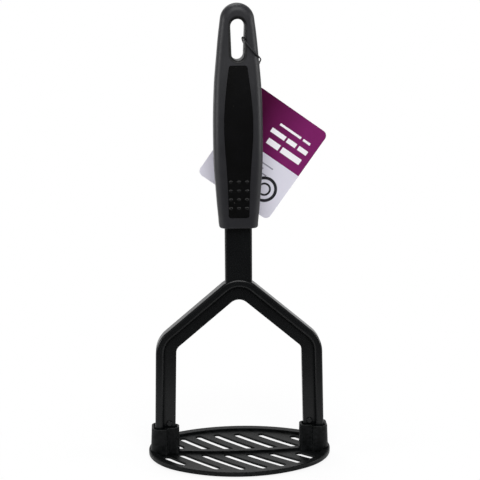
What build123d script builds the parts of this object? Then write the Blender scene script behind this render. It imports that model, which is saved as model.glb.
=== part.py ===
from build123d import *
import os
from math import atan2, cos, degrees, pi, radians, sin, sqrt, tan

os.makedirs("parts", exist_ok=True)

# A nylon potato masher, standing on its head plate. The origin is on the surface it
# stands on, under the middle of the plate. The front of the handle faces -Y.

# Sizes of the whole
total_height = 269.4
handle_length = 128.4
overrun = 3.0  # how far a cutter runs past the faces it cuts
snug_gap = 0.12  # between moulded pieces that plug into each other

handle_foot = total_height - handle_length  # the shank's shoulder meets the handle here

# Head plate: a four-arc oval, dished like a very shallow bowl
plate_length = 109.4
plate_depth = 78.8
plate_end_share = 0.855  # radius of the oval's ends over half its depth
plate_wall = 1.4
dish_radius = 700.0
rest_land = 0.12  # the middle of the underside is levelled this deep, to stand on
rim_height = 1.4
rim_width = 4.5
rim_round = 0.5
rib_width = 3.3
mash_slot_width = 4.7
mash_slot_pitch = 13.6  # along the plate's length
mash_slot_angle = 47.0
mash_slot_shift = 1.0  # of the front row to the right, and of the back row to the left
mash_slot_rib_gap = 1.45
mash_slot_socket_gap = 0.6
mash_slot_end_wall = 2.15  # from the oval that holds the slots to the plate's edge, at its ends
mash_slot_side_wall = 9.2  # and on its long sides

# Yoke frame: a house-shaped hoop of T section with its shank and tang in one moulding
yoke_peak = 114.5  # where the outer lines of the two arms would cross
arm_angle = 40.24  # below the horizontal
arm_width = 11.7
leg_width = 12.1
shoulder_half = 49.35
foot_half = 50.95
flange_wall = 4.7
flange_depth = 9.8
flange_round = 1.4
web_wall = 4.0
peak_round = 15.5
shoulder_round = 17.0
inner_peak_round = 7.0
inner_shoulder_round = 5.0
shank_width = 15.9
shank_depth = 7.6
shank_round = 1.8
tang_width = 11.0
tang_depth = 5.2
tang_length = 62.0
tang_round = 0.8
tang_tip_chamfer = 0.6
tooth_reach = 0.7
tooth_height = 4.0
tooth_pitch = 14.0
tooth_count = 3
button_radius = 1.75
button_height = 0.9
button_round = 0.5
button_gap = 0.45  # between the button and the socket's rim

# Sockets on the plate, one round each leg
socket_top = 18.9
socket_wall = 1.4
socket_lead = 0.7  # how much wider each side of the pocket is at its mouth
socket_draft = 1.6
socket_outer_round = 5.0
socket_web_round = 3.6
socket_waist_round = 1.4
socket_top_share = 0.75  # rounds at the socket's top over those at its foot
pocket_round = 1.0
socket_rim_round = 0.5
socket_floor = 1.4  # above the plate's top face, under the foot of the leg

# Handle
handle_width = 28.0
handle_depth = 24.0
handle_edge_round = 4.6
arch_radius = 9.7
arch_lean = 7.4  # how far the sides lean inward where the arch starts
foot_round = 1.3
# height up the handle, then half width, as shares of the handle's length and half width
handle_width_shares = [
    (0.000, 0.805),
    (0.077, 0.856),
    (0.146, 0.904),
    (0.215, 0.950),
    (0.285, 0.985),
    (0.369, 1.000),
    (0.485, 0.998),
    (0.592, 0.970),
    (0.665, 0.935),
    (0.758, 0.860),
    (0.857, 0.776),
]
# height up the handle, then half depth, as shares of the handle's length and half depth
handle_depth_shares = [
    (0.000, 0.80),
    (0.150, 0.91),
    (0.330, 1.00),
    (0.500, 0.97),
    (0.660, 0.85),
    (0.800, 0.69),
    (0.900, 0.61),
    (1.000, 0.57),
]

# Hanging slot through the top of the handle
hang_top_radius = 4.1
hang_low_radius = 3.6
hang_spacing = 15.4  # between the centres of its two round ends
hang_below_top = 13.0  # from the handle's top to the upper centre
hang_rim_round = 1.4

# Soft grip panels let into the front and back of the handle
grip_inlay = 1.8
grip_proud = 0.3
grip_step_width = 0.35  # a low step runs round each panel's edge
grip_step_height = 0.15
grip_corner_round = 1.4
# height up the handle, then half width, as shares of the handle's length and half width
grip_shares = [
    (0.051, 0.425),
    (0.150, 0.440),
    (0.230, 0.470),
    (0.354, 0.548),
    (0.477, 0.590),
    (0.608, 0.507),
    (0.730, 0.362),
]
dot_radius = 1.05
dot_height = 0.6
dot_column_pitch = 4.65
dot_row_pitch = 5.2
dot_columns = 3
dot_rows = 4
dots_below = 5.8  # from the panel's lower end to the lowest row

# Hang tag: a card behind the handle, hung from a hole near one corner
tag_width = 50.6
tag_height = 62.4
tag_wall = 0.5
tag_corner = 3.4
tag_tilt = 35.3  # clockwise, seen from the front
tag_hole_radius = 1.6
tag_hole_from_side = 5.0
tag_hole_from_top = 7.2
tag_hole_x = 12.7
tag_hole_above_foot = 72.0
tag_gap = 0.35  # from the handle's back to the card

# Tag string: a loop through the hanging slot and the card's hole, knotted behind the handle
string_diameter = 0.8
knot_radius = 1.25
knot_point = (9.2, 11.35, 229.2)
string_points = [
    (9.4, 11.4, 228.5),
    (10.8, 11.7, 223.0),
    (12.3, 11.75, 217.6),
    (12.7, 11.75, 213.6),
    (12.7, 13.95, 213.6),
    (12.6, 13.95, 217.0),
    (11.9, 13.6, 224.0),
    (8.4, 12.4, 235.0),
    (5.0, 10.4, 244.4),
    (3.1, 7.9, 248.9),
    (3.1, 2.6, 249.9),
    (3.1, -2.4, 250.3),
    (3.1, -7.5, 249.9),
    (4.6, -9.6, 247.6),
    (7.9, -9.4, 243.5),
    (11.2, -8.3, 240.2),
    (13.4, -3.8, 237.8),
    (13.05, 1.8, 236.2),
    (12.95, 6.8, 234.4),
    (12.0, 9.9, 231.9),
    (9.8, 11.2, 229.9),
]
string_bend_share = 0.45


# Worked out from the sizes above
plate_half = plate_length / 2
plate_half_depth = plate_depth / 2
plate_end_radius = plate_end_share * plate_half_depth
end_centre = plate_half - plate_end_radius
side_radius = (plate_half**2 - 2 * plate_half * plate_end_radius + plate_half_depth**2) / (
    2 * (plate_half_depth - plate_end_radius)
)
side_centre = side_radius - plate_half_depth
end_angle = degrees(atan2(side_centre, end_centre))
dish_centre = dish_radius - rest_land
rim_top_radius = dish_radius - plate_wall - rim_height
plate_top_radius = dish_radius - plate_wall
slope = tan(radians(arm_angle))


def dish_height(reach, radius=dish_radius):
    """How high a dished face of that radius lies at that distance from the middle."""
    return dish_centre - sqrt(radius**2 - reach**2)


leg_foot = dish_height(foot_half, plate_top_radius) + socket_floor


def leg_edge(height, inset):
    """Distance from the middle to the leg's edge at that height, that far inside its outer edge."""
    shoulder_height = yoke_peak - shoulder_half * slope
    share = (height - leg_foot) / (shoulder_height - leg_foot)
    return foot_half + (shoulder_half - foot_half) * share - inset


def house(arm_inset, leg_inset, foot=leg_foot):
    """Corners of the yoke's outline, that far inside its outer edge: foot, shoulder, peak and back."""
    peak = yoke_peak - arm_inset / cos(radians(arm_angle))
    shoulder = shoulder_half - leg_inset
    shoulder_height = peak - shoulder * slope
    foot_x = leg_edge(foot, leg_inset)
    return [
        (-foot_x, foot),
        (-shoulder, shoulder_height),
        (0, peak),
        (shoulder, shoulder_height),
        (foot_x, foot),
    ]


def oval(inset):
    """Four arcs of the plate's outline, that far inside its edge."""
    CenterArc((end_centre, 0), plate_end_radius - inset, -end_angle, 2 * end_angle)
    CenterArc((0, -side_centre), side_radius - inset, end_angle, 180 - 2 * end_angle)
    CenterArc((-end_centre, 0), plate_end_radius - inset, 180 - end_angle, 2 * end_angle)
    CenterArc((0, side_centre), side_radius - inset, 180 + end_angle, 180 - 2 * end_angle)


# Yoke frame
with BuildPart() as yoke_frame:
    with BuildSketch(Plane.XZ) as flange_outline:
        Polygon(*house(0, 0), align=None)
        fillet(flange_outline.vertices().group_by(Axis.Y)[1], shoulder_round)
        fillet(flange_outline.vertices().sort_by(Axis.Y)[-1], peak_round)
    extrude(amount=flange_depth / 2, both=True)
    with BuildSketch(Plane.XZ) as flange_bore:
        Polygon(*house(flange_wall, flange_wall, leg_foot - overrun), align=None)
        fillet(flange_bore.vertices().group_by(Axis.Y)[1], shoulder_round - flange_wall)
        fillet(flange_bore.vertices().sort_by(Axis.Y)[-1], peak_round - flange_wall)
    extrude(amount=flange_depth, both=True, mode=Mode.SUBTRACT)
    fillet(yoke_frame.faces().filter_by(Axis.Y).edges(), flange_round)

    with BuildSketch(Plane.XZ):
        Polygon(*house(flange_wall / 2, flange_wall / 2), align=None)
    extrude(amount=web_wall / 2, both=True)
    with BuildSketch(Plane.XZ) as web_bore:
        Polygon(*house(arm_width, leg_width, leg_foot - overrun), align=None)
        fillet(web_bore.vertices().group_by(Axis.Y)[1], inner_shoulder_round)
        fillet(web_bore.vertices().sort_by(Axis.Y)[-1], inner_peak_round)
    extrude(amount=web_wall, both=True, mode=Mode.SUBTRACT)

    # Shank, from inside the peak up to the handle, then the tang inside the handle
    shank_foot = yoke_peak - peak_round * (1 / cos(radians(arm_angle)) - 1) - flange_wall
    with BuildSketch(Plane.XY.offset(shank_foot)):
        RectangleRounded(shank_width, shank_depth, shank_round)
    extrude(amount=handle_foot - shank_foot)
    with BuildSketch(Plane.XY.offset(handle_foot)):
        RectangleRounded(tang_width, tang_depth, tang_round)
    extrude(amount=tang_length)
    chamfer(yoke_frame.faces().sort_by(Axis.Z)[-1].edges(), tang_tip_chamfer)

    # Barbed teeth on the tang's narrow sides
    tooth_base = handle_foot + tooth_pitch / 2
    with BuildSketch(Plane.XZ):
        for row in range(tooth_count):
            low = tooth_base + row * tooth_pitch
            for side in (-1, 1):
                near = side * (tang_width / 2 - tang_round)
                far = side * (tang_width / 2 + tooth_reach)
                with BuildLine():
                    Polyline((near, low), (far, low), (near, low + tooth_height), close=True)
                make_face()
    extrude(amount=tang_depth / 2 - tang_round, both=True)

    # A round button on the web of each leg, just above the socket's rim
    button_z = socket_top + button_gap + button_radius
    button_x = (leg_edge(button_z, flange_wall) + leg_edge(button_z, leg_width)) / 2
    with BuildSketch(Plane.XZ.offset(web_wall / 2)):
        with Locations((-button_x, button_z), (button_x, button_z)):
            Circle(button_radius)
    extrude(amount=button_height)
    fronts = yoke_frame.faces().filter_by(Axis.Y)
    caps = fronts.filter_by_position(Axis.Z, button_z - button_gap, button_z + button_gap)
    fillet(caps.edges(), button_round)

yoke_frame.part.label = "yoke_frame"


# Head plate
def socket_grow():
    """How far a socket's foot stands out round the leg."""
    return snug_gap + socket_lead + socket_wall + socket_top * tan(radians(socket_draft))


def slot_run(cross):
    """Start and end of a front slot whose line crosses the plate's length there, from that crossing."""
    cosine = cos(radians(mash_slot_angle))
    sine = sin(radians(mash_slot_angle))
    half = mash_slot_width / 2
    grow = socket_grow() + mash_slot_socket_gap
    walls = [
        (0, rib_width / 2 + mash_slot_rib_gap),
        (leg_edge(leg_foot, leg_width) - grow, web_wall / 2 + grow),
        (leg_edge(leg_foot, flange_wall) - grow, flange_depth / 2 + grow),
    ]
    start = 0
    for inner_x, front in walls:
        here = (front + half) / sine
        x = cross + here * cosine
        if abs(x) > inner_x - half:
            start = max(start, here)
    # where the line enters and leaves the oval that the slots' end centres stay in
    across = plate_half - mash_slot_end_wall - mash_slot_width / 2
    deep = plate_half_depth - mash_slot_side_wall - mash_slot_width / 2
    a = (cosine / across) ** 2 + (sine / deep) ** 2
    b = cross * cosine / across**2
    c = (cross / across) ** 2 - 1
    if b**2 < a * c:
        return None
    enter = (-b - sqrt(b**2 - a * c)) / a
    leave = (-b + sqrt(b**2 - a * c)) / a
    start = max(start, enter)
    if leave - start < mash_slot_width:
        return None
    return start, leave


def leg_section(side, height, grow, outer_round):
    """The T of a leg at that height, that far outside its faces, with its outer corners rounded."""
    outer = leg_edge(height, 0) + grow
    flange_in = leg_edge(height, flange_wall) - grow
    web_in = leg_edge(height, leg_width) - grow
    with BuildSketch() as section:
        with Locations((side * (outer + flange_in) / 2, 0)):
            Rectangle(outer - flange_in, flange_depth + 2 * grow)
        with Locations((side * (outer + web_in) / 2, 0)):
            Rectangle(outer - web_in, web_wall + 2 * grow)
        columns = section.vertices().group_by(Axis.X, reverse=side < 0)
        fillet(columns[-1], outer_round)
    return section.sketch


def socket_outline(side, height, grow, round_share):
    """Outside of a socket round the leg's section, its rounds at that share of their full size."""
    waist = side * (leg_edge(height, flange_wall) - grow)
    with BuildSketch() as outline:
        add(leg_section(side, height, grow, socket_outer_round * round_share))
        columns = outline.vertices().group_by(Axis.X, reverse=side < 0)
        fillet(columns[0], socket_web_round * round_share)
        corners = outline.vertices().filter_by(lambda corner: abs(corner.X - waist) < snug_gap)
        fillet(corners, socket_waist_round * round_share)
    return outline.sketch


with BuildPart() as plate_pan:
    with BuildSketch():
        with BuildLine():
            oval(rim_width)
        make_face()
        Rectangle(plate_length, rib_width, mode=Mode.SUBTRACT)
    extrude(amount=socket_top)
    with Locations((0, 0, dish_centre)):
        Sphere(plate_top_radius, mode=Mode.INTERSECT)

with BuildPart() as sockets:
    for side in (-1, 1):
        with BuildSketch():
            add(socket_outline(side, leg_foot, socket_grow(), 1))
        with BuildSketch(Plane.XY.offset(socket_top)):
            add(socket_outline(side, socket_top, snug_gap + socket_lead + socket_wall, socket_top_share))
        loft()
    fillet(sockets.faces().sort_by(Axis.Z)[-2:].edges(), socket_rim_round)
    with Locations((0, 0, dish_centre)):
        Sphere(dish_radius, mode=Mode.INTERSECT)

with BuildPart() as head_plate:
    with BuildSketch():
        with BuildLine():
            oval(0)
        make_face()
    rim_reach = dish_height(plate_half, rim_top_radius) + overrun
    extrude(amount=rim_reach)
    with Locations((0, 0, dish_centre)):
        Sphere(dish_radius, mode=Mode.INTERSECT)
        Sphere(rim_top_radius, mode=Mode.SUBTRACT)
    dished = head_plate.faces().filter_by(GeomType.SPHERE)
    outline = [edge for face in dished for edge in face.outer_wire().edges()]
    fillet(outline, rim_round)
    add(plate_pan.part, mode=Mode.SUBTRACT)

    with BuildSketch():
        steps = int(plate_length / mash_slot_pitch)
        for step in range(-steps, steps + 1):
            cross = step * mash_slot_pitch + mash_slot_shift
            run = slot_run(cross)
            if run is None:
                continue
            for turn in (1, -1):
                ends = [
                    (
                        turn * (cross + s * cos(radians(mash_slot_angle))),
                        -turn * s * sin(radians(mash_slot_angle)),
                    )
                    for s in run
                ]
                middle_x = (ends[0][0] + ends[1][0]) / 2
                middle_y = (ends[0][1] + ends[1][1]) / 2
                with Locations(Location((middle_x, middle_y), -mash_slot_angle)):
                    SlotCenterToCenter(run[1] - run[0], mash_slot_width)
    extrude(amount=rim_reach, mode=Mode.SUBTRACT)
    add(sockets.part)

    # Pockets that take the legs, wider at the mouth
    for side in (-1, 1):
        with BuildSketch(Plane.XY.offset(leg_foot)):
            add(leg_section(side, leg_foot, snug_gap, pocket_round))
        with BuildSketch(Plane.XY.offset(socket_top)):
            add(leg_section(side, socket_top, snug_gap + socket_lead, pocket_round))
        loft(mode=Mode.SUBTRACT)

head_plate.part.label = "head_plate"


# Handle
def handle_z(share):
    return handle_foot + share * handle_length


def side_line(grow):
    """Down the handle's front as the side view shows it, that far outside its surface."""
    return Spline(
        *[(-(share * handle_depth / 2 + grow), handle_z(height)) for height, share in handle_depth_shares]
    )


def width_line(shares, tangents=()):
    """Right edge, from bottom to top, of an outline on the handle, with its mirror image and foot."""
    right = Spline(
        *[(share * handle_width / 2, handle_z(height)) for height, share in shares], tangents=tangents
    )
    mirror(right, about=Plane.YZ)
    Line(right @ 0, (-(right @ 0).X, (right @ 0).Y))
    return right


def front_slab(outline, inner, outer):
    """What lies inside an outline on the handle's front, from that far outside its surface to that far."""
    with BuildPart() as slab:
        with BuildSketch(Plane.XZ):
            add(outline)
        extrude(amount=handle_depth)
        with BuildSketch(Plane.YZ):
            with BuildLine():
                near = side_line(inner)
                far = side_line(outer)
                Line(near @ 0, far @ 0)
                Line(near @ 1, far @ 1)
            make_face()
        extrude(amount=handle_width, both=True, mode=Mode.INTERSECT)
    return slab.part


def grip_outline(inset):
    """A grip panel's outline, that far inside its edge."""
    half_share = 2 * inset / handle_width
    end_share = inset / handle_length
    rows = [(height, share - half_share) for height, share in grip_shares]
    rows[0] = (rows[0][0] + end_share, rows[0][1])
    rows[-1] = (rows[-1][0] - end_share, rows[-1][1])
    with BuildSketch() as outline:
        with BuildLine():
            right = width_line(rows)
            Line(right @ 1, (-(right @ 1).X, (right @ 1).Y))
        make_face()
        fillet(outline.vertices(), grip_corner_round - inset)
    return outline.sketch


lowest_dot = handle_z(grip_shares[0][0]) + dots_below
with BuildSketch() as dots_outline:
    with Locations((0, lowest_dot + (dot_rows - 1) * dot_row_pitch / 2)):
        with GridLocations(dot_column_pitch, dot_row_pitch, dot_columns, dot_rows):
            Circle(dot_radius)

arch_centre = total_height - arch_radius
lean = radians(arch_lean)
arch_start_share = (arch_centre + arch_radius * sin(lean) - handle_foot) / handle_length
arch_half_share = 2 * arch_radius * cos(lean) / handle_width
hang_top = total_height - hang_below_top
hang_low = hang_top - hang_spacing
inlay_room = front_slab(grip_outline(0), -grip_inlay, grip_inlay)

with BuildPart() as handle_body:
    with BuildSketch(Plane.XZ):
        with BuildLine():
            width_line(
                [*handle_width_shares, (arch_start_share, arch_half_share)],
                [(0, 1), (-sin(lean), cos(lean))],
            )
            CenterArc((0, arch_centre), arch_radius, arch_lean, 180 - 2 * arch_lean)
        make_face()
    extrude(amount=handle_depth, both=True)
    with BuildSketch(Plane.YZ):
        with BuildLine():
            front = side_line(0)
            mirror(front, about=Plane.YZ)
            Line(front @ 0, (-(front @ 0).X, (front @ 0).Y))
            Line(front @ 1, (-(front @ 1).X, (front @ 1).Y))
        make_face()
    extrude(amount=handle_width, both=True, mode=Mode.INTERSECT)
    long_edges = handle_body.edges().filter_by(
        lambda edge: abs(edge.center().Y) > handle_depth / 8
        and edge.bounding_box().size.Z > arch_radius / 4
    )
    fillet(long_edges, handle_edge_round)

    fillet(handle_body.faces().sort_by(Axis.Z)[0].edges(), foot_round)

    # Hanging slot, with rounded rims
    with BuildSketch(Plane.XZ):
        with BuildLine():
            CenterArc((0, hang_top), hang_top_radius, 0, 360)
            CenterArc((0, hang_low), hang_low_radius, 0, 360)
        make_hull()
    extrude(amount=handle_depth, both=True, mode=Mode.SUBTRACT)
    mouths = handle_body.edges().filter_by(
        lambda edge: abs(edge.center().X) < hang_top_radius + overrun / 4
        and abs(edge.center().Y) > handle_depth / 8
        and hang_low - hang_low_radius - overrun < edge.center().Z < hang_top + hang_top_radius + overrun
    )
    fillet(mouths, hang_rim_round)

    # Room for the grips, and for the tang with its teeth
    add(inlay_room, mode=Mode.SUBTRACT)
    add(mirror(inlay_room, about=Plane.XZ, mode=Mode.PRIVATE), mode=Mode.SUBTRACT)
    with BuildSketch(Plane.XY.offset(handle_foot)):
        RectangleRounded(tang_width + 2 * snug_gap, tang_depth + 2 * snug_gap, tang_round)
    extrude(amount=tang_length + snug_gap, mode=Mode.SUBTRACT)
    add(yoke_frame.part, mode=Mode.SUBTRACT)

handle_body.part.label = "handle_body"


# Grips, with rows of domed dots near the lower end
dome_radius = (dot_radius**2 + dot_height**2) / (2 * dot_height)
with BuildLine(Plane.YZ) as grip_front:
    side_line(grip_proud)

with BuildPart() as dots:
    for row in range(dot_rows):
        dot_z = lowest_dot + row * dot_row_pitch
        skin = grip_front.edge().intersect(Plane.XY.offset(dot_z))[0]
        for column in range(dot_columns):
            dot_x = (column - (dot_columns - 1) / 2) * dot_column_pitch
            with Locations((dot_x, skin.Y - dot_height + dome_radius, dot_z)):
                Sphere(dome_radius)
    add(front_slab(dots_outline.sketch, -grip_inlay / 2, grip_proud + overrun), mode=Mode.INTERSECT)

with BuildPart() as front_grip:
    add(front_slab(grip_outline(0), -grip_inlay, grip_proud - grip_step_height))
    add(front_slab(grip_outline(grip_step_width), -grip_inlay / 2, grip_proud))
    add(dots.part)

front_grip.part.label = "front_grip"

with BuildPart() as rear_grip:
    mirror(front_grip.part, about=Plane.XZ)

rear_grip.part.label = "rear_grip"


# Hang tag: the card, turned about its hole
tag_front = handle_depth / 2 + grip_proud + tag_gap
tag_hole_z = handle_foot + tag_hole_above_foot
tag_middle = (tag_width / 2 - tag_hole_from_side, tag_hole_from_top - tag_height / 2)

with BuildPart() as hang_tag:
    with BuildSketch(Plane.XZ.offset(-tag_front - tag_wall)):
        with Locations(Location((tag_hole_x, tag_hole_z), -tag_tilt)):
            with Locations(tag_middle):
                RectangleRounded(tag_width, tag_height, tag_corner)
            Circle(tag_hole_radius, mode=Mode.SUBTRACT)
    extrude(amount=tag_wall)

hang_tag.part.label = "hang_tag"


# Tag string
turns = []
for before, here, after in zip(string_points, string_points[1:], string_points[2:]):
    arriving = Vector(*here) - Vector(*before)
    leaving = Vector(*after) - Vector(*here)
    turn = radians(arriving.get_angle(leaving))
    turns.append(string_bend_share * min(arriving.length, leaving.length) / tan(turn / 2))
print("string bend radii", [round(radius, 1) for radius in turns])

with BuildPart() as tag_string:
    with BuildLine() as string_line:
        FilletPolyline(*string_points, radius=turns)
    route = string_line.wire()
    with BuildSketch(Plane(origin=route @ 0, z_dir=route % 0)):
        Circle(string_diameter / 2)
    sweep(path=route)
    print("string length", round(route.length, 1), "tube volume", round(tag_string.part.volume, 2))
    print("section times length", round(pi * string_diameter**2 / 4 * route.length, 2))
    with Locations(knot_point):
        Sphere(knot_radius)

tag_string.part.label = "tag_string"

for piece, name in (
    (yoke_frame, "yoke_frame"),
    (head_plate, "head_plate"),
    (handle_body, "handle_body"),
    (front_grip, "front_grip"),
    (rear_grip, "rear_grip"),
    (hang_tag, "hang_tag"),
    (tag_string, "tag_string"),
):
    export_step(piece.part, f"parts/{name}.step")
    print(name, round(piece.part.volume, 1), piece.part.bounding_box().size, len(piece.part.solids()))
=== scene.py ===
from math import cos, radians, sin

import bmesh
import bpy
from mathutils import Matrix, Quaternion, Vector


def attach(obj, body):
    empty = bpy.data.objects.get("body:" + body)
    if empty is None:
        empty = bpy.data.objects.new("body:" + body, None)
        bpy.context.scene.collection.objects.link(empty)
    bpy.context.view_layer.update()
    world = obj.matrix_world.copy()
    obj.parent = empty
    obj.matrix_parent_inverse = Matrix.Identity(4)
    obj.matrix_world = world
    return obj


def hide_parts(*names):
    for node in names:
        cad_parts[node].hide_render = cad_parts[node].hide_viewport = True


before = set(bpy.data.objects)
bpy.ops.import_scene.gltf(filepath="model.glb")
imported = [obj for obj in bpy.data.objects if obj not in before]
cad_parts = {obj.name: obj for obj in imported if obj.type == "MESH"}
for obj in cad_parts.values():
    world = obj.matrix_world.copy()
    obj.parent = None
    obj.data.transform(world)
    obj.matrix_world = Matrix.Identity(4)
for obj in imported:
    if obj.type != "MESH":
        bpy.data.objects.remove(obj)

bpy.context.view_layer.update()
print("stage: frame loaded")


def linear(hexColour):
    # sRGB hex to the linear colour that the sockets take
    parts = [int(hexColour[i:i + 2], 16) / 255 for i in (1, 3, 5)]
    straight = [p / 12.92 if p <= 0.04045 else ((p + 0.055) / 1.055) ** 2.4 for p in parts]
    return (*straight, 1.0)


# ---- camera: stands a little left of the middle and looks slightly down
cameraSetup = {
    "distance": 0.750,
    "height": 0.290,
    "azimuth": -3.0,
    "aim": (0.00100, 0.0, 0.1325),
    "lens": 98.1,
    "roll": -0.33,
    "clipStart": 0.05,
}


def placeCamera(setup):
    data = bpy.data.cameras.new("camera")
    data.lens = setup["lens"]
    data.clip_start = setup["clipStart"]
    camera = bpy.data.objects.new("camera", data)
    bpy.context.scene.collection.objects.link(camera)
    turn = radians(setup["azimuth"])
    camera.location = (setup["distance"] * sin(turn), -setup["distance"] * cos(turn), setup["height"])
    aimed = (Vector(setup["aim"]) - camera.location).to_track_quat("-Z", "Y")
    camera.rotation_mode = "QUATERNION"
    camera.rotation_quaternion = aimed @ Quaternion((0, 0, 1), radians(setup["roll"]))
    bpy.context.scene.camera = camera


placeCamera(cameraSetup)
print("stage: camera")

# ---- tag string: thin round elastic, up from the card, through the hanging slot and back
tagString = {
    "diameter": 0.0008,
    "length": 0.1063,
    "points": [
        (0.00940, 0.01140, 0.22850),
        (0.01080, 0.01170, 0.22300),
        (0.01230, 0.01175, 0.21760),
        (0.01270, 0.01175, 0.21360),
        (0.01270, 0.01395, 0.21360),
        (0.01260, 0.01395, 0.21700),
        (0.01190, 0.01360, 0.22400),
        (0.00840, 0.01240, 0.23500),
        (0.00500, 0.01040, 0.24440),
        (0.00310, 0.00790, 0.24890),
        (0.00310, 0.00260, 0.24990),
        (0.00310, -0.00240, 0.25030),
        (0.00310, -0.00750, 0.24990),
        (0.00460, -0.00960, 0.24760),
        (0.00790, -0.00940, 0.24350),
        (0.01120, -0.00830, 0.24020),
        (0.01340, -0.00380, 0.23780),
        (0.01305, 0.00180, 0.23620),
        (0.01295, 0.00680, 0.23440),
        (0.01200, 0.00990, 0.23190),
        (0.00980, 0.01120, 0.22990),
    ],
}
# the knot where the string's two ends meet, as points round its middle
stringKnot = {
    "middle": (0.0092, 0.01135, 0.2292),
    "size": 0.00042,
    "points": [
        (0.00, -1.00, 0.00),
        (2.61, 0.42, -0.87),
        (1.67, 2.05, 0.87),
        (-0.87, 0.50, 0.00),
        (-0.94, -2.47, -0.87),
        (0.94, -2.47, 0.87),
        (0.87, 0.50, 0.00),
        (-1.67, 2.05, -0.87),
        (-2.61, 0.42, 0.87),
    ],
}


def smoothLine(name, points, radius, closed=False):
    data = bpy.data.curves.new(name, "CURVE")
    data.dimensions = "3D"
    data.resolution_u = 10
    data.bevel_depth = 1.0
    data.bevel_resolution = 3
    data.use_fill_caps = True
    spline = data.splines.new("NURBS")
    spline.points.add(len(points) - 1)
    for point, place in zip(spline.points, points):
        point.co = (*place, 1.0)
        point.radius = radius
    spline.order_u = 3
    spline.use_endpoint_u = not closed
    spline.use_cyclic_u = closed
    piece = bpy.data.objects.new(name, data)
    bpy.context.scene.collection.objects.link(piece)
    return piece


stringPiece = smoothLine("tagElastic", tagString["points"], tagString["diameter"] / 2)
knotPoints = [Vector(stringKnot["middle"]) + stringKnot["size"] * Vector(p) for p in stringKnot["points"]]
knotPiece = smoothLine("elasticKnot", knotPoints, tagString["diameter"] / 2, closed=True)
for piece in (stringPiece, knotPiece):
    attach(piece, "masher")
    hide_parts("tag_string")
print("stage: tag string")


# ---- materials
def addNode(tree, kind, settings, links=()):
    # settings are inputs or properties of the node, links are its inputs and what feeds them
    node = tree.nodes.new(kind)
    for key, value in settings.items():
        if isinstance(key, int) or key in node.inputs:
            node.inputs[key].default_value = value
        else:
            setattr(node, key, value)
    for key, source in dict(links).items():
        tree.links.new(source, node.inputs[key])
    return node


def newMaterial(name):
    material = bpy.data.materials.new(name)
    material.use_nodes = True
    tree = material.node_tree
    tree.nodes.clear()
    place = addNode(tree, "ShaderNodeTexCoord", {}).outputs["Object"]
    return material, tree, place


def closeMaterial(tree, settings, links):
    shader = addNode(tree, "ShaderNodeBsdfPrincipled", settings, links)
    addNode(tree, "ShaderNodeOutputMaterial", {}, {"Surface": shader.outputs[0]})


# handle: polypropylene from a fine spark-eroded mould, a soft charcoal that spreads its highlights
handleFinish = {
    "dark": "#1c1c1f",
    "light": "#232326",
    "cloud": 0.022,
    "grain": 0.0009,  # the mould's grit is about 0.1 mm, drawn coarser so that it shows
    "grainDepth": 0.00003,
    "roughness": (0.44, 0.54),
    "shine": 0.28,
    "ior": 1.49,
    # painted shade round the hanging slot's rim, the colour darkened where the rim lies in shade: the slot's
    # round ends, and how far out the shade goes
    "rimEnds": (0.2410, 0.2573),
    "rimReach": 0.0049,
    "rimFade": 0.0006,
    "rim": "#060607",
}
# grip panels: thermoplastic rubber, nearly black, with a few grains of dust on it
gripFinish = {
    "dark": "#050505",
    "light": "#09090a",
    "cloud": 0.018,
    "grain": 0.0007,
    "grainDepth": 0.000003,
    "dust": "#4a4844",
    "dustSpacing": 0.0065,
    "dustSize": 0.035,
    "roughness": (0.20, 0.25),
    "shine": 0.22,
    "ior": 1.50,
}
# yoke frame: black nylon, satin where the mould was polished
frameFinish = {
    "dark": "#060708",
    "light": "#0c0d0e",
    "cloud": 0.030,
    "grain": 0.0008,
    "grainDepth": 0.000002,
    "roughness": (0.26, 0.31),
    "shine": 0.21,
    "ior": 1.53,
}
# head: the same nylon, greyer, with flow lines along its bars
headFinish = {
    "dark": "#040505",
    "light": "#101112",
    "flowWidth": 0.0016,
    "flowLength": 0.020,
    "flowAngle": 47.0,
    "grain": 0.0008,
    "grainDepth": 0.000012,
    "roughness": (0.34, 0.46),
    "shine": 0.09,
    "ior": 1.53,
}
# corners between faces catch less of the room, so the shine falls off into them
nookShade = {"reach": 0.0022, "closed": 0.45, "open": 0.90}
# the parts of the cloud and grain noises that span a finish's two colours and its roughness
noiseSpan = {"cloud": (0.35, 0.65), "grain": (0.3, 0.7)}


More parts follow.
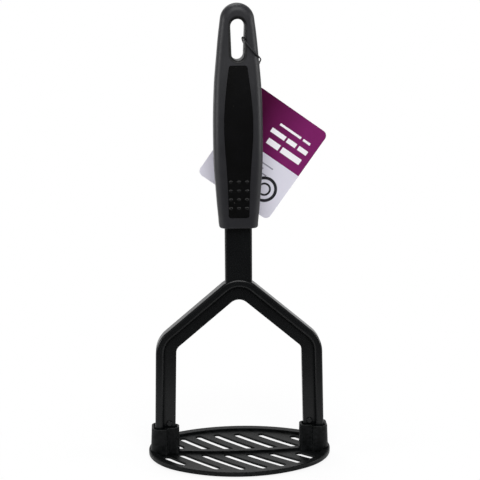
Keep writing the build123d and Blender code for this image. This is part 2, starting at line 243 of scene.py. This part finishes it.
def mouldedPlastic(name, finish):
    material, tree, place = newMaterial(name)
    if "flowAngle" in finish:
        flow = addNode(tree, "ShaderNodeMapping", {
            "vector_type": "TEXTURE",
            "Rotation": (0, 0, -radians(finish["flowAngle"])),
            "Scale": (finish["flowLength"], finish["flowWidth"], finish["flowWidth"]),
        }, {"Vector": place})
        cloud = addNode(tree, "ShaderNodeTexNoise", {"Scale": 1.0, "Detail": 3.0}, {"Vector": flow.outputs[0]})
    else:
        cloud = addNode(tree, "ShaderNodeTexNoise", {
            "Scale": 1 / finish["cloud"], "Detail": 4.0, "Roughness": 0.6,
        }, {"Vector": place})
    low, high = noiseSpan["cloud"]
    spread = addNode(tree, "ShaderNodeMapRange", {"From Min": low, "From Max": high}, {"Value": cloud.outputs[0]})
    colour = addNode(tree, "ShaderNodeMix", {
        "data_type": "RGBA", 6: linear(finish["dark"]), 7: linear(finish["light"]),
    }, {0: spread.outputs[0]})
    grain = addNode(tree, "ShaderNodeTexNoise", {
        "Scale": 1 / finish["grain"], "Detail": 2.0,
    }, {"Vector": place})
    low, high = noiseSpan["grain"]
    smooth, rugged = finish["roughness"]
    rough = addNode(tree, "ShaderNodeMapRange", {
        "From Min": low, "From Max": high, "To Min": smooth, "To Max": rugged,
    }, {"Value": grain.outputs[0]})
    bump = addNode(tree, "ShaderNodeBump", {
        "Strength": 1.0, "Distance": finish["grainDepth"],
    }, {"Height": grain.outputs[0]})
    shade = colour.outputs[2]
    if "dust" in finish:
        speck = addNode(tree, "ShaderNodeTexVoronoi", {"Scale": 1 / finish["dustSpacing"]}, {"Vector": place})
        near = addNode(tree, "ShaderNodeMath", {
            "operation": "LESS_THAN", 1: finish["dustSize"],
        }, {0: speck.outputs["Distance"]})
        shade = addNode(tree, "ShaderNodeMix", {
            "data_type": "RGBA", 7: linear(finish["dust"]),
        }, {0: near.outputs[0], 6: shade}).outputs[2]
    # painted shade: the colour turns darker within a set distance of the hanging slot
    if "rim" in finish:
        axes = addNode(tree, "ShaderNodeSeparateXYZ", {}, {0: place})
        low, top = finish["rimEnds"]
        nearest = addNode(tree, "ShaderNodeClamp", {"Min": low, "Max": top}, {0: axes.outputs[2]})
        above = addNode(tree, "ShaderNodeMath", {
            "operation": "SUBTRACT",
        }, {0: axes.outputs[2], 1: nearest.outputs[0]})
        aside = addNode(tree, "ShaderNodeCombineXYZ", {}, {0: axes.outputs[0], 2: above.outputs[0]})
        reach = addNode(tree, "ShaderNodeVectorMath", {"operation": "LENGTH"}, {0: aside.outputs[0]})
        inRimShade = addNode(tree, "ShaderNodeMapRange", {
            "From Min": finish["rimReach"], "From Max": finish["rimReach"] + finish["rimFade"],
            "To Min": 1.0, "To Max": 0.0,
        }, {"Value": reach.outputs["Value"]})
        shade = addNode(tree, "ShaderNodeMix", {
            "data_type": "RGBA", 7: linear(finish["rim"]),
        }, {0: inRimShade.outputs[0], 6: shade}).outputs[2]
    nook = addNode(tree, "ShaderNodeAmbientOcclusion", {"samples": 8, "Distance": nookShade["reach"]})
    shine = addNode(tree, "ShaderNodeMapRange", {
        "From Min": nookShade["closed"], "From Max": nookShade["open"],
        "To Min": 0.0, "To Max": finish["shine"],
    }, {"Value": nook.outputs["AO"]})
    closeMaterial(tree, {"IOR": finish["ior"]}, {
        "Base Color": shade, "Roughness": rough.outputs[0], "Normal": bump.outputs[0],
        "Specular IOR Level": shine.outputs[0],
    })
    return material


# hang tag: coated card, printed on its front, with a plain pale back and a white edge
tagPrint = {
    "hole": (0.0127, 0.213),
    "tilt": 35.3,
    "middle": (0.0203, -0.0240),  # from the hole to the card's middle, before it is tilted
    "halfHeight": 0.0312,
    "bandHeight": 0.0304,
    "bandLeft": "#480232",
    "bandRight": "#781f60",
    "bandFade": 0.014,  # half the way across over which the left colour turns into the right
    "paper": "#dcdae6",
    "core": "#efeee9",
    "ink": "#f4f2f6",
    "greyInk": "#8d8a99",
    "darkInk": "#26252a",
    "frontSide": 0.01285,  # front of this the print shows, behind it the plain back
    # rows of plain blocks across the band, then short grey lines below it: middle and half size
    "barsInk": [
        (0.0060, 0.0200, 0.0075, 0.0007),
        (0.0175, 0.0200, 0.0025, 0.0007),
        (0.0010, 0.0145, 0.0050, 0.0014),
        (0.0105, 0.0145, 0.0032, 0.0014),
        (0.0185, 0.0145, 0.0032, 0.0014),
        (0.0020, 0.0080, 0.0042, 0.0018),
        (0.0145, 0.0080, 0.0068, 0.0018),
    ],
    "barsGrey": [
        (0.0020, -0.0045, 0.0085, 0.0004),
        (-0.0005, -0.0072, 0.0060, 0.0004),
        (0.0015, -0.0099, 0.0080, 0.0004),
        (-0.0195, -0.0185, 0.0030, 0.0006),
    ],
    # a plain ring with a smaller ring in it stands where the card shows its goods
    "ringMiddle": (0.0130, -0.0170),
    "rings": [(0.0068, 0.0009), (0.0034, 0.0006)],
    # the film over the print is slightly uneven, about a millimetre across
    "film": 0.0011,
    "filmDepth": 0.000008,
    "roughness": (0.30, 0.42),
    "shine": 0.2,
    "ior": 1.5,
}


def cardMaterial(name, look):
    material, tree, place = newMaterial(name)
    tilt = radians(look["tilt"])
    hole, middle = look["hole"], look["middle"]
    centre = (
        hole[0] + middle[0] * cos(tilt) + middle[1] * sin(tilt),
        0,
        hole[1] - middle[0] * sin(tilt) + middle[1] * cos(tilt),
    )
    onCard = addNode(tree, "ShaderNodeMapping", {
        "vector_type": "TEXTURE", "Location": centre, "Rotation": (0, tilt, 0),
    }, {"Vector": place})
    axes = addNode(tree, "ShaderNodeSeparateXYZ", {}, {0: onCard.outputs[0]})
    across, up, depth = axes.outputs[0], axes.outputs[2], axes.outputs[1]

    fade = addNode(tree, "ShaderNodeMapRange", {
        "From Min": -look["bandFade"], "From Max": look["bandFade"],
    }, {"Value": across})
    band = addNode(tree, "ShaderNodeMix", {
        "data_type": "RGBA", 6: linear(look["bandLeft"]), 7: linear(look["bandRight"]),
    }, {0: fade.outputs[0]})
    inBand = addNode(tree, "ShaderNodeMath", {
        "operation": "GREATER_THAN", 1: look["halfHeight"] - look["bandHeight"],
    }, {0: up})
    front = addNode(tree, "ShaderNodeMix", {
        "data_type": "RGBA", 6: linear(look["paper"]),
    }, {0: inBand.outputs[0], 7: band.outputs[2]}).outputs[2]
    for rows, ink in ((look["barsInk"], look["ink"]), (look["barsGrey"], look["greyInk"])):
        for x, z, halfWidth, halfHeight in rows:
            beside = addNode(tree, "ShaderNodeMath", {"operation": "COMPARE", 1: x, 2: halfWidth}, {0: across})
            level = addNode(tree, "ShaderNodeMath", {"operation": "COMPARE", 1: z, 2: halfHeight}, {0: up})
            inBar = addNode(tree, "ShaderNodeMath", {
                "operation": "MULTIPLY",
            }, {0: beside.outputs[0], 1: level.outputs[0]})
            front = addNode(tree, "ShaderNodeMix", {
                "data_type": "RGBA", 7: linear(ink),
            }, {0: inBar.outputs[0], 6: front}).outputs[2]
    flat = addNode(tree, "ShaderNodeCombineXYZ", {}, {0: across, 2: up})
    ringX, ringZ = look["ringMiddle"]
    reach = addNode(tree, "ShaderNodeVectorMath", {
        "operation": "DISTANCE", 1: (ringX, 0, ringZ),
    }, {0: flat.outputs[0]})
    for radius, half in look["rings"]:
        onRing = addNode(tree, "ShaderNodeMath", {
            "operation": "COMPARE", 1: radius, 2: half,
        }, {0: reach.outputs["Value"]})
        front = addNode(tree, "ShaderNodeMix", {
            "data_type": "RGBA", 7: linear(look["darkInk"]),
        }, {0: onRing.outputs[0], 6: front}).outputs[2]
    onBack = addNode(tree, "ShaderNodeMath", {"operation": "GREATER_THAN", 1: look["frontSide"]}, {0: depth})
    face = addNode(tree, "ShaderNodeMix", {
        "data_type": "RGBA", 7: linear(look["paper"]),
    }, {0: onBack.outputs[0], 6: front})
    facing = addNode(tree, "ShaderNodeNewGeometry", {}).outputs["Normal"]
    sideways = addNode(tree, "ShaderNodeSeparateXYZ", {}, {0: facing}).outputs[1]
    flatness = addNode(tree, "ShaderNodeMath", {"operation": "ABSOLUTE"}, {0: sideways})
    isEdge = addNode(tree, "ShaderNodeMath", {"operation": "LESS_THAN", 1: 0.5}, {0: flatness.outputs[0]})
    colour = addNode(tree, "ShaderNodeMix", {
        "data_type": "RGBA", 7: linear(look["core"]),
    }, {0: isEdge.outputs[0], 6: face.outputs[2]})
    film = addNode(tree, "ShaderNodeTexNoise", {"Scale": 1 / look["film"], "Detail": 2.0}, {"Vector": place})
    bump = addNode(tree, "ShaderNodeBump", {"Distance": look["filmDepth"]}, {"Height": film.outputs[0]})
    smooth, rugged = look["roughness"]
    rough = addNode(tree, "ShaderNodeMapRange", {"To Min": smooth, "To Max": rugged}, {"Value": film.outputs[0]})
    closeMaterial(tree, {"IOR": look["ior"], "Specular IOR Level": look["shine"]}, {
        "Base Color": colour.outputs[2], "Roughness": rough.outputs[0], "Normal": bump.outputs[0],
    })
    return material


# tag string: braided elastic, matt black with a faint diagonal weave
cordFinish = {
    "dark": "#08080a",
    "light": "#1d1d20",
    "strands": (90.0, 3.0),  # along the cord and round it
    "slant": 35.0,
    "strandDepth": 0.00004,
    "roughness": 0.7,
    "ior": 1.5,
}


def braidedCord(name, finish):
    material, tree, _ = newMaterial(name)
    along = addNode(tree, "ShaderNodeTexCoord", {}).outputs["UV"]
    slant = addNode(tree, "ShaderNodeMapping", {
        "Rotation": (0, 0, radians(finish["slant"])), "Scale": (*finish["strands"], 1.0),
    }, {"Vector": along})
    weave = addNode(tree, "ShaderNodeTexWave", {"Scale": 1.0}, {"Vector": slant.outputs[0]})
    colour = addNode(tree, "ShaderNodeMix", {
        "data_type": "RGBA", 6: linear(finish["dark"]), 7: linear(finish["light"]),
    }, {0: weave.outputs["Fac"]})
    bump = addNode(tree, "ShaderNodeBump", {"Distance": finish["strandDepth"]}, {"Height": weave.outputs["Fac"]})
    closeMaterial(tree, {"IOR": finish["ior"], "Roughness": finish["roughness"]}, {
        "Base Color": colour.outputs[2], "Normal": bump.outputs[0],
    })
    return material


nylonFrame = mouldedPlastic("satinNylon", frameFinish)
nylonHead = mouldedPlastic("flowMarkedNylon", headFinish)
handlePlastic = mouldedPlastic("charcoalPolypropylene", handleFinish)
softGrip = mouldedPlastic("thermoplasticRubber", gripFinish)
printedCard = cardMaterial("coatedCard", tagPrint)
cordBlack = braidedCord("braidedElastic", cordFinish)

for nodeName, material in (
    ("yoke_frame", nylonFrame),
    ("head_plate", nylonHead),
    ("handle_body", handlePlastic),
    ("front_grip", softGrip),
    ("rear_grip", softGrip),
    ("hang_tag", printedCard),
):
    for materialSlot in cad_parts[nodeName].material_slots:
        materialSlot.material = material
for piece in (stringPiece, knotPiece):
    piece.data.materials.append(cordBlack)
print("stage: materials")

# ---- floor, world and lamps
studio = {
    "floorMiddle": (0.0, 0.39),
    "floorRadius": 0.55,
    "floor": "#e9e9ea",
    "whiteShare": 0.90,
    "fade": (0.07, 0.155),  # between these distances the floor runs out into white
    "worldDim": 0.12,
    "behind": (0.2, 0.9),  # the part of a direction's Y over which reflections turn white
    "lamps": [
        # name, place, size, power
        ("leftSoftbox", (-1.10, -0.25, 0.28), 0.50, 7.5),
        ("rightSoftbox", (1.10, -0.20, 0.28), 0.50, 7.5),
        ("frontSoftbox", (0.00, -0.95, 1.10), 0.90, 18.0),
        ("topSoftbox", (-0.10, 0.45, 1.15), 0.50, 5.0),
    ],
    "lampAim": (0.0, 0.0, 0.12),
}


def makeFloor(setup):
    mesh = bmesh.new()
    bmesh.ops.create_circle(
        mesh, cap_ends=True, segments=96, radius=setup["floorRadius"],
        matrix=Matrix.Translation((*setup["floorMiddle"], 0)),
    )
    data = bpy.data.meshes.new("floor")
    mesh.to_mesh(data)
    mesh.free()
    floor = bpy.data.objects.new("floor", data)
    bpy.context.scene.collection.objects.link(floor)
    material, tree, place = newMaterial("paleFloor")
    diffuse = addNode(tree, "ShaderNodeBsdfDiffuse", {"Color": linear(setup["floor"])})
    white = addNode(tree, "ShaderNodeEmission", {"Color": (1, 1, 1, 1), "Strength": 1.0})
    path = addNode(tree, "ShaderNodeLightPath", {})
    reach = addNode(tree, "ShaderNodeVectorMath", {"operation": "LENGTH"}, {0: place})
    near, far = setup["fade"]
    fade = addNode(tree, "ShaderNodeMapRange", {
        "interpolation_type": "SMOOTHSTEP", "From Min": near, "From Max": far, "To Min": setup["whiteShare"],
    }, {"Value": reach.outputs["Value"]})
    through = addNode(tree, "ShaderNodeMath", {
        "operation": "MAXIMUM",
    }, {0: path.outputs["Is Glossy Ray"], 1: path.outputs["Is Transmission Ray"]})
    shows = addNode(tree, "ShaderNodeMath", {
        "operation": "MAXIMUM",
    }, {0: path.outputs["Is Camera Ray"], 1: through.outputs[0]})
    share = addNode(tree, "ShaderNodeMath", {
        "operation": "MULTIPLY",
    }, {0: fade.outputs[0], 1: shows.outputs[0]})
    mixed = addNode(tree, "ShaderNodeMixShader", {}, {
        0: share.outputs[0], 1: diffuse.outputs[0], 2: white.outputs[0],
    })
    addNode(tree, "ShaderNodeOutputMaterial", {}, {"Surface": mixed.outputs[0]})
    data.materials.append(material)


def makeWorld(setup):
    world = bpy.data.worlds.new("studio")
    world.use_nodes = True
    tree = world.node_tree
    tree.nodes.clear()
    dim = addNode(tree, "ShaderNodeBackground", {"Color": (1, 1, 1, 1), "Strength": setup["worldDim"]})
    white = addNode(tree, "ShaderNodeBackground", {"Color": (1, 1, 1, 1), "Strength": 1.0})
    path = addNode(tree, "ShaderNodeLightPath", {})
    # reflections meet the white only behind the object, where the backdrop stands
    toward = addNode(tree, "ShaderNodeTexCoord", {}).outputs["Generated"]
    behind = addNode(tree, "ShaderNodeSeparateXYZ", {}, {0: toward}).outputs[1]
    low, high = setup["behind"]
    back = addNode(tree, "ShaderNodeMapRange", {
        "interpolation_type": "SMOOTHSTEP", "From Min": low, "From Max": high,
    }, {"Value": behind})
    mirrored = addNode(tree, "ShaderNodeMath", {
        "operation": "MULTIPLY",
    }, {0: path.outputs["Is Glossy Ray"], 1: back.outputs[0]})
    direct = addNode(tree, "ShaderNodeMath", {
        "operation": "MAXIMUM",
    }, {0: path.outputs["Is Camera Ray"], 1: path.outputs["Is Transmission Ray"]})
    shows = addNode(tree, "ShaderNodeMath", {
        "operation": "MAXIMUM",
    }, {0: direct.outputs[0], 1: mirrored.outputs[0]})
    mixed = addNode(tree, "ShaderNodeMixShader", {}, {
        0: shows.outputs[0], 1: dim.outputs[0], 2: white.outputs[0],
    })
    addNode(tree, "ShaderNodeOutputWorld", {}, {"Surface": mixed.outputs[0]})
    bpy.context.scene.world = world


def makeLamps(setup):
    for name, place, size, power in setup["lamps"]:
        data = bpy.data.lights.new(name, "AREA")
        data.shape = "SQUARE"
        data.size = size
        data.energy = power
        lamp = bpy.data.objects.new(name, data)
        lamp.location = place
        lamp.rotation_mode = "QUATERNION"
        lamp.rotation_quaternion = (Vector(setup["lampAim"]) - lamp.location).to_track_quat("-Z", "Y")
        bpy.context.scene.collection.objects.link(lamp)


makeFloor(studio)
makeWorld(studio)
makeLamps(studio)
bpy.context.scene.view_settings.view_transform = "Standard"
print("stage: studio")

bpy.context.view_layer.update()
